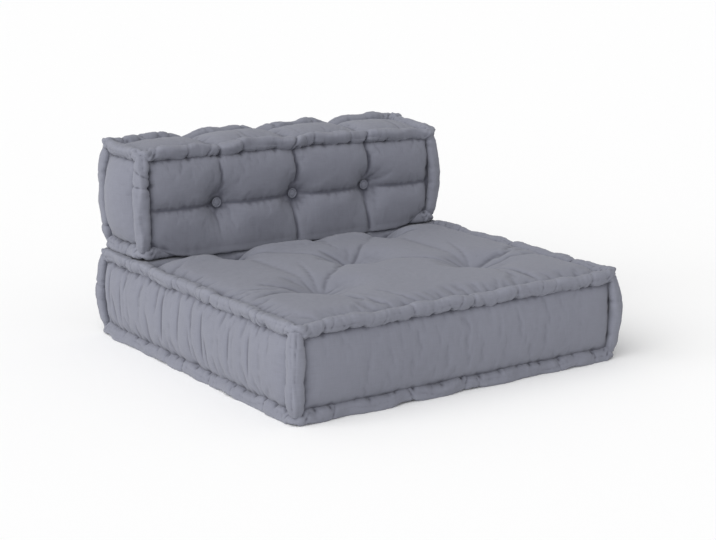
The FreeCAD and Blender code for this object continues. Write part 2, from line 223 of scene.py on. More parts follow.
def canvas_finish(name, settings):
    """Plain-woven cotton: threads over and under, slubs, a little uneven dye, and painted shade in folds."""
    finish = Finish(name, roughness=0.92, sheen_weight=0.12, sheen_roughness=0.6, specular_ior_level=0.18)
    cloth = finish.node("ShaderNodeUVMap", {"uv_map": "cloth"})
    u = finish.node("ShaderNodeSeparateXYZ", Vector=cloth)
    v = Shade(finish.tree, u.socket.node.outputs[1])
    turn = math.pi / settings.yarn
    over = (u * turn).sine() * (v * turn).sine()
    warp = abs((u * turn + math.pi / 2).sine()) * (0.5 + 0.5 * over)
    weft = abs((v * turn + math.pi / 2).sine()) * (0.5 - 0.5 * over)
    weave = warp.larger(weft)

    def slub(across, along):
        stretched = finish.node("ShaderNodeMapping", Vector=cloth, Scale=(across, along, 1))
        return finish.noise(stretched, 1.0, 2.0)

    yarns = 0.5 * slub(SLUB_FINE, SLUB_LONG) + 0.5 * slub(SLUB_LONG, SLUB_FINE)
    dye = finish.noise(finish.object_place(), 7.0, 4.0)
    colour = tuple(settings.colour)
    tone = finish.mix(yarns, lighter(colour, -YARN_CONTRAST), lighter(colour, YARN_CONTRAST))
    both = finish.tint(tone, finish.mix(dye, *DYE_SHADES))
    # Painted shade from the fold attribute: darker in creases, beside seams and round buttons, and lighter on
    # ridges.
    fold = finish.node("ShaderNodeAttribute", {"attribute_name": "fold"}, 2)
    painted_crease_shade = finish.mix(fold.larger(0.0), WHITE, PAINTED_SHADE_COLOUR)
    rubbed = finish.mix((0.0 - fold).larger(0.0), WHITE, RIDGE_SHADE)
    finish.feed("Base Color", finish.tint(finish.tint(both, painted_crease_shade), rubbed))
    finish.feed("Roughness", 0.86 + 0.1 * yarns)
    finish.bump(0.6 * weave + 0.5 * yarns, 0.0005, 0.5)
    return finish.material


# Where the cushions are


# Of each panel: the axis it faces along, which way, and the axes across and along it
PANELS = {
    "top": (2, 1, 0, 1),
    "bottom": (2, -1, 0, 1),
    "front": (1, -1, 0, 2),
    "rear": (1, 1, 0, 2),
    "left": (0, -1, 1, 2),
    "right": (0, 1, 1, 2),
}
SIDE_AT = {(axis, sign): name for name, (axis, sign, _, _) in PANELS.items()}
RING_SIDES = ("front", "rear", "left", "right")
NOTCH_STRENGTH = 2.2


class Cushion:
    """One cushion's box between the middles of its rolled edges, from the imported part."""

    def __init__(self, name, body, seed):
        self.name = name
        self.body = body
        self.seed = seed
        edges = [(level, side) for level in ("top", "bottom") for side in RING_SIDES]
        boxes = [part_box(f"{name}_roll_{level}_{side}") for level, side in edges]
        self.outer_low = Vector(min(low[i] for low, _ in boxes) for i in range(3))
        self.outer_high = Vector(max(high[i] for _, high in boxes) for i in range(3))
        low, high = boxes[0]
        self.radius = (high.z - low.z) / 2
        self.seam = self.radius * 0.8
        inset = Vector((self.radius,) * 3)
        self.low = self.outer_low + inset
        self.high = self.outer_high - inset
        self.middle = (self.low + self.high) / 2
        self.half = (self.high - self.low) / 2
        self.notches = []

    def stitches(self, gap):
        """Places and strengths of the stitches along each of the twelve edges. An edge is
        known by the two panels that meet at it."""
        draw = np.random.default_rng(self.seed)
        seams = {}
        for first, (axis, _, *others) in PANELS.items():
            for other in others:
                for sign in (-1, 1):
                    seam = frozenset((first, SIDE_AT[other, sign]))
                    along = 3 - axis - other
                    if seam not in seams:
                        seams[seam] = self.stitch_row(self.low[along], self.high[along], gap, draw)
        for side in ("front", "rear"):
            seam = frozenset(("top", side))
            clear = [one for one in seams[seam] if all(abs(one[0] - x) > gap / 2 for x in self.notches)]
            seams[seam] = clear + [(x, NOTCH_STRENGTH) for x in self.notches]
        return seams

    def stitch_row(self, start, end, gap, draw):
        row = []
        place = start + gap * draw.uniform(0.5, 1.0)
        while place < end - gap / 2:
            row.append((place, draw.uniform(0.4, 1.35)))
            place += gap * draw.uniform(0.6, 1.5)
        return row


seat = Cushion("seat", "seat", 11)
back = Cushion("back", "backrest", 12)
button_low, button_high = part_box("back_front_buttons")
button_radius = (button_high.z - button_low.z) / 2
button_height = button_high.y - button_low.y
back_tuft_x = button_high.x - button_radius
back_tuft_z = (button_low.z + button_high.z) / 2
back_columns = (-back_tuft_x, 0.0, back_tuft_x)
back.notches = list(back_columns)
back_tufts = [(x, back_tuft_z) for x in back_columns]
seat_button_low, seat_button_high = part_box("seat_tuft_buttons")
seat_tuft_x = seat_button_high.x - button_radius
seat_tuft_front = seat_button_low.y + button_radius
seat_tuft_rear = seat_button_high.y - button_radius
seat_tuft_rows = (seat_tuft_front, seat_tuft_rear)
seat_corner_tufts = [(x, y) for x in (-seat_tuft_x, seat_tuft_x) for y in seat_tuft_rows]
seat_middle_tuft = (0.0, (seat_tuft_front + seat_tuft_rear) / 2)
seat_tufts = seat_corner_tufts + [seat_middle_tuft]
bearing_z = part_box("seat_loop_strips")[0].z


# Mesh helpers


def new_piece(name, bm, body, finish, smooth=True):
    """Makes an object of a bmesh, with its finish, riding on a body of the part."""
    mesh = bpy.data.meshes.new(name)
    bm.to_mesh(mesh)
    bm.free()
    mesh.polygons.foreach_set("use_smooth", [smooth] * len(mesh.polygons))
    piece = bpy.data.objects.new(name, mesh)
    bpy.context.scene.collection.objects.link(piece)
    mesh.materials.append(finish)
    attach(piece, body)
    return piece


def refine(piece):
    """Smooths a piece with a subdivision surface."""
    modifier = piece.modifiers.new("Smooth", "SUBSURF")
    modifier.levels = 1
    modifier.render_levels = 1
    return piece


def read_points(mesh):
    flat = np.empty(len(mesh.vertices) * 3)
    mesh.vertices.foreach_get("co", flat)
    return flat.reshape(-1, 3)


def write_points(mesh, points):
    mesh.vertices.foreach_set("co", np.ascontiguousarray(points, dtype=np.float32).ravel())
    mesh.update()


FOLD_GAIN = 6


def mark_folds(mesh, size, seams=0.0):
    """Stores how deep each vertex lies in a fold, from -1 on a ridge to 1 in a crease; the cloth's
    colour is darkened by it in creases as painted shade. Size is the usual length of an edge,
    and seams adds painted shade beside a rolled edge."""
    points = read_points(mesh)
    pairs = np.empty(len(mesh.edges) * 2, dtype=np.int32)
    mesh.edges.foreach_get("vertices", pairs)
    first, second = pairs.reshape(-1, 2).T
    count = np.bincount(pairs, minlength=len(points)).astype(float)

    def around(values):
        total = np.zeros_like(values)
        np.add.at(total, first, values[second])
        np.add.at(total, second, values[first])
        return total / count.reshape((-1,) + (1,) * (values.ndim - 1))

    normals = np.empty(len(points) * 3)
    mesh.vertex_normals.foreach_get("vector", normals)
    depth = ((around(points) - points) * normals.reshape(-1, 3)).sum(1) / size
    for _ in range(2):
        depth = (depth + around(depth)) / 2
    fold = np.clip(depth * FOLD_GAIN + seams, -1, 1)
    layer = mesh.attributes.new("fold", "FLOAT", "POINT")
    layer.data.foreach_set("value", fold.astype(np.float32))


def write_box_map(bm):
    """Maps the cloth of a small piece from the side that each face looks to, in metres."""
    layer = bm.loops.layers.uv.new("cloth")
    bm.normal_update()
    for face in bm.faces:
        facing = max(range(3), key=lambda i: abs(face.normal[i]))
        across, along = [i for i in range(3) if i != facing]
        for loop in face.loops:
            loop[layer].uv = (loop.vert.co[across], loop.vert.co[along])


# Stuffed cushions


def bell(off, width):
    """A rounded peak: 1 where off is 0, and next to nothing at twice the width."""
    return np.exp(-((off / width) ** 2))


def spike(off, width):
    """A sharp peak: 1 where off is 0, and fading on both sides."""
    return np.exp(-np.abs(off) / width)


class Panel:
    """One side of a cushion's cover: which vertices it has, and where they lie on it."""

    def __init__(self, stuffed, name):
        self.axis, self.sign, across, along = PANELS[name]
        cushion = stuffed.cushion
        plane = cushion.middle[self.axis] + self.sign * cushion.half[self.axis]
        on_plane = np.abs(stuffed.flat[:, self.axis] - plane) < 1e-6
        self.verts = np.nonzero(on_plane & ~stuffed.on_edge)[0]
        self.u = stuffed.flat[self.verts, across]
        self.v = stuffed.flat[self.verts, along]
        self.share_u = (self.u - cushion.middle[across]) / cushion.half[across]
        self.share_v = (self.v - cushion.middle[along]) / cushion.half[along]
        self.seams = []
        for axis, share, run in ((across, self.share_u, self.v), (along, self.share_v, self.u)):
            for sign in (-1, 1):
                seam = frozenset((name, SIDE_AT[axis, sign]))
                self.seams.append((seam, run, cushion.half[axis] * (1 - sign * share)))

    def away_from(self, spot):
        return np.hypot(self.u - spot[0], self.v - spot[1])

    def fall(self, start, width):
        """0 at the seams and 1 away from them, with a steep rise beside the rolled edges."""
        share = np.ones(len(self.verts))
        for _, _, distance in self.seams:
            share *= 1 - spike(np.maximum(distance - start, 0), width)
        return share

    def dome(self):
        """1 in the middle and 0 at the seams, broadly round."""
        return (1 - self.share_u**2) * (1 - self.share_v**2)

    def puckers(self, stitches, start):
        """Where the stitches along the seams draw the cloth in: a dimple and a short fold each."""
        reach, dimple_width, dimple_depth = 0.09, 0.009, 0.013
        fold_share, fold_width, fold_length = 0.4, 0.0045, 0.03
        pull = np.zeros(len(self.verts))
        for seam, run, distance in self.seams:
            near = distance < reach
            gap = distance[near]
            for place, strength in stitches[seam]:
                off = run[near] - place
                dimple = np.exp(-((off / dimple_width) ** 2) - ((gap - start) / dimple_depth) ** 2)
                fold = np.exp(-np.abs(off) / fold_width - gap / fold_length)
                pull[near] += strength * (dimple + fold_share * fold)
        return pull

    def crease(self, start, end, depth, width, kept=0.0, bow=0.0):
        """A valley from one point to another, which fades to a kept share at its end."""
        du, dv = end[0] - start[0], end[1] - start[1]
        length = math.hypot(du, dv)
        along = ((self.u - start[0]) * du + (self.v - start[1]) * dv) / length
        off = ((self.v - start[1]) * du - (self.u - start[0]) * dv) / length
        share = np.clip(along / length, 0, 1)
        off = off + bow * 4 * share * (1 - share)
        past = np.maximum(np.maximum(-along, along - length), 0)
        return depth * (1 - (1 - kept) * share) * spike(np.hypot(off, past), width)

    def rays(self, tufts, count, length, depth, draw):
        """Short creases that fan out from the tufts."""
        button, width, bow = 0.02, 0.005, 0.004
        pull = np.zeros(len(self.verts))
        for u, v in tufts:
            beside = 1 - bell(self.away_from((u, v)), button)
            for number in range(count):
                turn = 2 * math.pi * (number + draw.uniform(-0.4, 0.4)) / count
                far = length * draw.uniform(0.5, 1.3)
                end = (u + far * math.cos(turn), v + far * math.sin(turn))
                deep = depth * draw.uniform(0.3, 1.2)
                crease = self.crease((u, v), end, deep, width, 0.0, draw.normal(0, bow))
                pull = np.maximum(pull, crease * beside)
        return pull

    def gathers(self, count, depth, width, draw):
        """Upright folds: narrow valleys between soft rounds."""
        lean = 0.006
        pull = np.zeros(len(self.verts))
        reach = np.abs(self.u).max()
        for number in range(count):
            place = reach * (2 * (number + draw.uniform(0.1, 0.9)) / count - 1)
            line = place + draw.normal(0, lean) * self.share_v + draw.normal(0, lean) * self.share_v**2
            middle, spread = draw.uniform(-0.7, 0.7), draw.uniform(0.5, 1.5)
            fade = np.exp(-(((self.share_v - middle) / spread) ** 4))
            deep = depth * draw.uniform(0.3, 1.0) ** 2
            pull += deep * fade * spike(self.u - line, width * draw.uniform(0.6, 1.7))
        return pull


JITTER = 0.0003


class Stuffed:
    """A cushion's cover before and during its stuffing."""

    def __init__(self, cushion, spacing):
        self.cushion = cushion
        self.spacing = spacing
        bm = bmesh.new()
        bmesh.ops.create_cube(bm, size=1)
        size = cushion.high - cushion.low
        place = Matrix.Translation(cushion.middle) @ Matrix.Diagonal((*size, 1))
        bmesh.ops.transform(bm, matrix=place, verts=bm.verts)
        for axis in range(3):
            whole = size[axis] / 2
            edges = [e for e in bm.edges if abs((e.verts[0].co - e.verts[1].co)[axis]) > whole]
            cuts = 2 * round(size[axis] / spacing / 2) - 1
            bmesh.ops.subdivide_edges(bm, edges=edges, cuts=cuts, use_grid_fill=True)
        self.mesh = bpy.data.meshes.new(f"{cushion.name}_cushion")
        bm.to_mesh(self.mesh)
        bm.free()
        self.flat = read_points(self.mesh)
        outside = np.abs(np.abs(self.flat - np.array(cushion.middle)) - np.array(cushion.half)) < 1e-6
        self.on_edge = outside.sum(1) >= 2
        self.shape = self.flat.copy()
        self.hold = np.where(self.on_edge, 1.0, 0.0)
        self.slack = np.zeros(len(self.flat))
        self.panels = {name: Panel(self, name) for name in PANELS}

    def raise_panel(self, panel, height):
        """Moves a panel outwards from the plane of its seams."""
        self.shape[panel.verts, panel.axis] = self.flat[panel.verts, panel.axis] + panel.sign * height

    def hold_where(self, panel, chosen, share=1.0):
        """Holds chosen vertices of a panel in the simulation."""
        picked = panel.verts[chosen]
        self.hold[picked] = np.maximum(self.hold[picked], share)

    def hold_tufts(self, panel, tufts):
        """Holds the cloth under each button."""
        for tuft in tufts:
            self.hold_where(panel, panel.away_from(tuft) < button_radius * 1.1)

    def write_cloth_map(self):
        """Gives the cover a map of its flat cloth, in metres."""
        layer = self.mesh.uv_layers.new(name="cloth")
        loops = np.empty(len(self.mesh.loops), dtype=np.int32)
        self.mesh.loops.foreach_get("vertex_index", loops)
        normals = np.empty(len(self.mesh.polygons) * 3)
        self.mesh.polygons.foreach_get("normal", normals)
        facing = np.repeat(np.abs(normals.reshape(-1, 3)).argmax(1), 4)
        across = np.where(facing == 0, self.flat[loops, 1], self.flat[loops, 0])
        along = np.where(facing == 2, self.flat[loops, 1], self.flat[loops, 2])
        layer.data.foreach_set("uv", np.stack([across, along], 1).astype(np.float32).ravel())

    def stuff(self, settings, seed):
        """Lets the filling push the cover out, and returns the finished object."""
        self.write_cloth_map()
        jitter = np.random.default_rng(seed).normal(0, JITTER, self.shape.shape)
        self.shape += jitter * (self.hold < 1)[:, None]
        write_points(self.mesh, self.shape)
        piece = bpy.data.objects.new(f"{self.cushion.name}_cushion", self.mesh)
        bpy.context.scene.collection.objects.link(piece)
        self.simulate(piece, settings)
        return piece

    def simulate(self, piece, settings):
        """Runs the cloth, with its seams and tufts held, and keeps the result."""
        held = piece.vertex_groups.new(name="held")
        tight = piece.vertex_groups.new(name="tight")
        loosest = self.slack.max()
        for index, (hold, slack) in enumerate(zip(self.hold.tolist(), self.slack.tolist())):
            if hold > 0:
                held.add([index], hold, "REPLACE")
            tight.add([index], 1 - slack / loosest, "REPLACE")
        cloth = piece.modifiers.new("Cloth", "CLOTH")
        cover = cloth.settings
        cover.quality = 4
        cover.bending_stiffness = settings.bending
        cover.vertex_group_mass = held.name
        cover.vertex_group_shrink = tight.name
        cover.shrink_min = -loosest
        cover.shrink_max = 0.0
        cover.use_pressure = True
        cover.uniform_pressure_force = settings.pressure
        cover.effector_weights.gravity = 0
        cloth.point_cache.frame_start = 1
        cloth.point_cache.frame_end = settings.frames
        for step in range(1, settings.frames + 1):
            bpy.context.scene.frame_set(step)
        done = piece.evaluated_get(bpy.context.evaluated_depsgraph_get())
        move = read_points(done.data) - self.shape
        length = np.linalg.norm(move, axis=1, keepdims=True)
        self.shape = self.shape + move * np.minimum(1, settings.most / np.maximum(length, 1e-9))
        piece.modifiers.clear()
        piece.vertex_groups.clear()
        write_points(piece.data, self.shape)
        bpy.context.scene.frame_set(1)


def hollow_at(height, panel, tufts, level, reach):
    """Draws a panel's height down to the tufts."""
    for tuft in tufts:
        far = np.maximum(panel.away_from(tuft) - button_radius, 0)
        height = level + (height - level) * (1 - bell(far, reach))
    return height


ZIP_SLOT = 0.008


class ZipSlot:
    """A narrow slot in a panel, for a zip. The band round it is held in the simulation, and
    the slot is pressed in afterwards."""

    def __init__(self, stuffed, panel, middle, half_length, lip, sunk):
        off = panel.v - middle
        spacing = np.diff(np.unique(np.round(off, 6))).max()
        self.row = np.round(off / spacing)
        within = np.abs(panel.u) < half_length
        self.band = (np.abs(self.row) < 3) & (np.abs(panel.u) < half_length + spacing)
        self.inside = (np.abs(self.row) < 2) & within
        self.edge = (np.abs(self.row) == 2) & within
        self.panel, self.middle, self.sunk = panel, middle, sunk
        self.plane = stuffed.flat[panel.verts[0], panel.axis]
        stuffed.shape[panel.verts[self.band], panel.axis] = self.plane + panel.sign * lip
        stuffed.hold_where(panel, self.band)

    def press(self, mesh):
        points = read_points(mesh)
        panel = self.panel
        along = 1 if panel.axis == 2 else 2
        points[panel.verts[self.inside], panel.axis] = self.plane + panel.sign * self.sunk
        for chosen, share in ((self.inside, 0.92), (self.edge, 1.08)):
            side = np.sign(self.row[chosen])
            points[panel.verts[chosen], along] = self.middle + side * ZIP_SLOT * share
        write_points(mesh, points)


def finish_cushion(stuffed, piece, finish, tufted, replaced):
    """Gives a stuffed cover its finish, with painted shade beside its seams and round its buttons, and its
    place in the part.
    """
    cushion = stuffed.cushion
    # Painted shade: darkens the cloth beside the rolled edges and in a ring round each button.
    seams = np.zeros(len(stuffed.flat))
    for panel in stuffed.panels.values():
        seams[panel.verts] = 0.6 * (1 - panel.fall(cushion.seam, 0.007))
    for panel, tufts in tufted:
        for tuft in tufts:
            off = np.maximum(panel.away_from(tuft) - button_radius, 0)
            seams[panel.verts] += bell(off, 0.005)
    mark_folds(piece.data, stuffed.spacing, seams)
    piece.data.materials.append(finish)
    piece.data.polygons.foreach_set("use_smooth", [True] * len(piece.data.polygons))
    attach(piece, cushion.body)
    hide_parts(*replaced)
    return refine(piece)


def pressed_panel(stuffed, name, level, draw):
    """A panel that is pressed flat and doesn't move."""
    panel = stuffed.panels[name]
    uneven = draw.normal(0, 0.0004, len(panel.verts))
    stuffed.raise_panel(panel, (level + uneven) * panel.fall(0.012, 0.006))
    stuffed.hold[panel.verts] = 1.0


def shape_seat_top(stuffed, settings, stitches, draw):
    """The sitting side: pillows between the tufts, and a flat place under the back."""
    valley, fold, crease = 0.03, 0.02, 0.005
    top = stuffed.panels["top"]
    height = settings.seat_crown * top.fall(seat.seam, 0.022) * (0.7 + 0.3 * top.dome())
    for tuft in seat_corner_tufts:
        height -= top.crease(seat_middle_tuft, tuft, 0.007, valley, 0.9)
        height -= top.crease(tuft, (tuft[0] * 1.9, tuft[1] * 1.1), 0.008, fold, 0.1)
    for x in (-seat_tuft_x, seat_tuft_x):
        front = (x, seat_tuft_front)
        height -= top.crease(front, (x, seat_tuft_rear), 0.009, valley, 1.0)
        height -= top.crease(front, (x + 0.07, 0.0), 0.010, crease, 0.1)
        height -= top.crease(front, (x * 1.05, seat.low.y), 0.008, fold, 0.1)
    past_back = top.v - back.outer_low.y
    columns = sum(bell(top.u - x, 0.03) for x in (-seat_tuft_x, 0.02, seat_tuft_x))
    height += 0.012 * bell(past_back + 0.065, 0.035) * (1 - 0.8 * columns) * top.fall(seat.seam, 0.05)
    tuft_level = seat_button_low.z - seat.high.z
    for tuft in seat_tufts:
        rear = tuft[1] == seat_tuft_rear
        reach = settings.seat_tuft * (0.55 if rear else 0.8)
        if not rear:
            beside = (tuft[0] + 0.03, tuft[1] - 0.018)
            height = hollow_at(height, top, [beside], tuft_level + 0.008, reach)
        height = hollow_at(height, top, [tuft], tuft_level, reach * 0.8)
    height -= top.rays(seat_tufts, 6, 0.085, 0.006, draw)
    height -= 0.001 * top.puckers(stitches, seat.seam)
    pressed = top.v > back.outer_low.y
    height = np.where(pressed, bearing_z - seat.high.z, height)
    dented = bell(past_back + 0.014, 0.012) * top.fall(seat.seam, 0.02)
    height -= 0.016 * dented
    stuffed.hold_where(top, dented > 0.3, 0.9)
    stuffed.raise_panel(top, height)
    stuffed.hold_where(top, pressed)
    stuffed.hold_tufts(top, seat_tufts)
    stuffed.slack[top.verts] = 0.024


# Of each side of the seat: bulge, slack of its cloth, number of its folds and their depth
SEAT_SIDES = {
    "front": (0.022, 0.005, 10, 0.001),
    "left": (0.022, 0.026, 28, 0.012),
    "right": (0.022, 0.026, 28, 0.012),
    "rear": (0.0145, 0.008, 14, 0.002),
}
TAPE_GAP = 0.002
BACK_GAP = 0.0025


def make_seat_cushion(sofa):
    """The seat: tufted top, gathered sides, a smooth front and a flat underside."""
    settings = sofa.stuffing
    draw = np.random.default_rng(7)
    stuffed = Stuffed(seat, settings.grid)
    stitches = seat.stitches(sofa.rolls.stitch_gap)
    shape_seat_top(stuffed, settings, stitches, draw)
    for name, (bulge, slack, folds, depth) in SEAT_SIDES.items():
        panel = stuffed.panels[name]
        rise = panel.fall(seat.seam, 0.014)
        height = bulge * rise * (0.75 + 0.25 * panel.dome())
        calm = 1 - 0.75 * bell(panel.u - seat.low.y, 0.4) if panel.axis == 0 else 1
        height -= panel.gathers(folds, depth, 0.007, draw) * rise * calm
        height -= 0.003 * panel.puckers(stitches, seat.seam)
        stuffed.raise_panel(panel, height)
        stuffed.slack[panel.verts] = slack
    tape_low, tape_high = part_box("seat_zip_tapes")
    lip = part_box("seat_rear_panel")[1].y - seat.high.y
    middle = (tape_low.z + tape_high.z) / 2
    sunk = tape_low.y - seat.high.y - TAPE_GAP
    slot = ZipSlot(stuffed, stuffed.panels["rear"], middle, tape_high.x, lip, sunk)
    pressed_panel(stuffed, "bottom", seat.radius - 0.0015, draw)
    piece = stuffed.stuff(settings, 3)
    slot.press(piece.data)
    points = read_points(piece.data)
    against = (stuffed.flat[:, 1] <= back.outer_low.y + 0.002) & (points[:, 2] > back.outer_low.z - 0.002)
    points[against, 1] = np.minimum(points[against, 1], back.outer_low.y - BACK_GAP)
    write_points(piece.data, points)
    finish = canvas_finish("seat_canvas", sofa.cloth)
    replaced = ["seat_core", "seat_wadding", "seat_top_wadding"] + [f"seat_{side}_panel" for side in PANELS]
    return finish_cushion(stuffed, piece, finish, [(stuffed.panels["top"], seat_tufts)], replaced)


# How deep each column's crease is, below and above its button
COLUMN_CREASES = ((0.3, 0.35), (0.72, 0.85), (0.7, 0.85))
# Folds that run out from the outer buttons: which button, how far across and up, how deep
OUTER_FOLDS = (
    (0, -0.16, -0.012, 0.006),
    (0, -0.13, -0.035, 0.006),
    (2, 0.05, 0.07, 0.008),
    (2, 0.085, 0.05, 0.008),
)
CORNER_SINK = 0.018


def settled(points):
    """Points of the back cushion, sunk a little towards its front right top corner."""
    along = np.clip((points[:, 0] + 0.1) / (back.half.x + 0.1), 0, None)
    up = np.clip((points[:, 2] - back.outer_low.z) / (back.high.z - back.outer_low.z), 0, 1.1)
    ahead = np.clip((back.high.y - points[:, 1]) / (back.high.y - back.low.y), 0, 1.1)
    sunk = points.copy()
    sunk[:, 2] -= CORNER_SINK * along**2 * up * ahead
    return sunk


def shape_back_faces(stuffed, settings, stitches, draw):
    """Front and rear of the back: a row of creases and a column at each button."""
    level = back.low.y - button_high.y
    for name in ("front", "rear"):
        panel = stuffed.panels[name]
        row = np.abs(panel.v - back_tuft_z)
        height = 0.027 * panel.fall(back.seam, 0.016) * (0.75 + 0.25 * panel.dome())
        height *= 1 - 0.66 * spike(row, 0.007) - 0.2 * bell(row, 0.04)
        for x, (below, above) in zip(back_columns, COLUMN_CREASES):
            deep = np.where(panel.v > back_tuft_z, above, below)
            off = np.abs(panel.u - x - 0.006 * np.sin((panel.v - back_tuft_z) / 0.03))
            height *= 1 - deep * spike(off, 0.0065) - 0.15 * bell(off, 0.04)
        height = hollow_at(height, panel, back_tufts, level, 0.034)
        height -= panel.rays(back_tufts, 7, 0.06, 0.005, draw)
        for button, across, up, depth in OUTER_FOLDS:
            u, v = back_tufts[button]
            height -= panel.crease((u, v), (u + across, v + up), depth, 0.006)
        height -= 0.004 * panel.puckers(stitches, back.seam)
        stuffed.raise_panel(panel, height)
        stuffed.hold_tufts(panel, back_tufts)
        nearest = np.min([np.abs(panel.u - x) for x in back_columns[1:]], axis=0)
        stuffed.hold_where(panel, np.minimum(nearest, row) < settings.grid * 0.45, 0.95)
        stuffed.slack[panel.verts] = 0.014


def shape_back_edges(stuffed, settings, stitches, draw):
    """Top and ends of the back. The columns of creases run on over the top."""
    top = stuffed.panels["top"]
    height = 0.026 * top.fall(back.seam, 0.04) * (0.6 + 0.4 * top.dome())
    for x in back_columns:
        off = np.abs(top.u - x)
        height *= 1 - 0.7 * spike(off, 0.012) - 0.25 * bell(off, 0.045)
        stuffed.hold_where(top, off < settings.grid * 0.45, 0.95)
    height = height - 0.004 * top.puckers(stitches, back.seam) - top.gathers(14, 0.005, 0.006, draw)
    stuffed.raise_panel(top, height)
    stuffed.slack[top.verts] = 0.02
    for name in ("left", "right"):
        panel = stuffed.panels[name]
        height = 0.046 * panel.fall(back.seam, 0.022) * (0.5 + 0.5 * panel.dome())
        height -= panel.gathers(5, 0.002, 0.008, draw)
        height -= 0.003 * panel.puckers(stitches, back.seam)
        stuffed.raise_panel(panel, height)
        stuffed.slack[panel.verts] = 0.012


def droop_foot(front, points):
    """Lets the foot of the back's front hang over its bottom roll and onto the seat."""
    rise = front.v - back.low.z
    ends = 1 - bell(back.half.x - np.abs(front.u), 0.08)
    slump = ends * (1 - bell(rise, 0.005))
    points[front.verts, 2] -= 0.056 * np.exp(-rise / 0.028) * slump
    apart = np.min([np.abs(front.u - x) for x in back_columns[1:]], axis=0)
    share = slump * bell(rise, 0.05) * (1 - 0.5 * spike(apart, 0.008))
    forward = np.minimum(points[front.verts, 1], back.outer_low.y - 0.009)
    points[front.verts, 1] += share * (forward - points[front.verts, 1])


def make_back_cushion(sofa):
    """The back: buttons join through it, and creases part both main sides into pillows."""
    settings = sofa.stuffing
    draw = np.random.default_rng(8)
    stuffed = Stuffed(back, settings.grid * 0.8)
    stitches = back.stitches(sofa.rolls.stitch_gap)
    shape_back_faces(stuffed, settings, stitches, draw)
    shape_back_edges(stuffed, settings, stitches, draw)
    lip = back.low.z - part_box("back_hook_strips")[1].z
    pressed_panel(stuffed, "bottom", lip, draw)
    tape_low, tape_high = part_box("back_zip_tapes")
    middle = (tape_low.y + tape_high.y) / 2
    sunk = back.low.z - tape_high.z - TAPE_GAP
    slot = ZipSlot(stuffed, stuffed.panels["bottom"], middle, tape_high.x, lip, sunk)
    piece = stuffed.stuff(settings, 5)
    slot.press(piece.data)
    points = read_points(piece.data)
    droop_foot(stuffed.panels["front"], points)
    write_points(piece.data, settled(points))
    finish = canvas_finish("back_canvas", sofa.cloth)
    replaced = ["back_core", "back_wadding"] + [f"back_{side}_panel" for side in PANELS]
    tufted = [(stuffed.panels[name], back_tufts) for name in ("front", "rear")]
    return finish_cushion(stuffed, piece, finish, tufted, replaced)


# Rolled edges


# Slanting creases that run round a roll: their distance and their lean
SLANTS = ((0.05, 1.4), (0.037, -0.9))
# Where the left side of a square ring starts, as a share of its length
LAST_SIDE = 0.75
STITCH_REACH = 0.05
TIGHT_STITCH = 1.1
RING_BEND = 0.008
RING_WANDER = 0.0026
POST_WANDER = 0.0012
POST_BOW = 0.008


